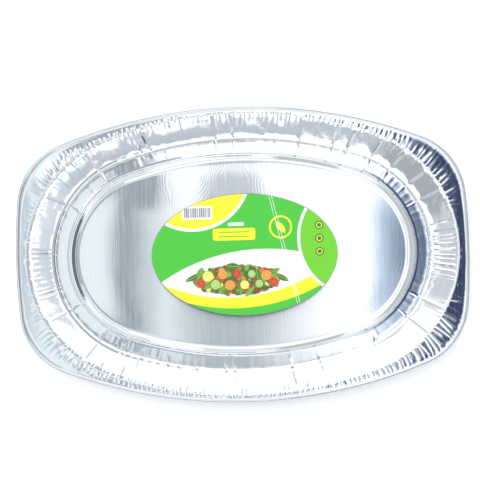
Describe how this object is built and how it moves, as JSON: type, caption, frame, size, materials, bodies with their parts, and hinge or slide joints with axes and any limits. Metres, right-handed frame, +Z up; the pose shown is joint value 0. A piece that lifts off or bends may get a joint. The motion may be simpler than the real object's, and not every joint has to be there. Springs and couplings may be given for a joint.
{
  "type": "foil catering platter",
  "caption": "Shallow oval platter pressed from foil, with a rolled rim, sloped wall and beaded floor, and an oval printed card label lying in it.",
  "frame": {"origin": "under the middle of the platter, on the plane it stands on", "axes": "+X along the platter, +Y across it, +Z up out of the open basin"},
  "size_m": [0.43, 0.28, 0.021],
  "materials": {
    "foil": "bright rolled foil",
    "card": "coated print"
  },
  "bodies": {
    "root": {"foil_platter": "foil", "printed_label": "card"}
  },
  "joints": []
}
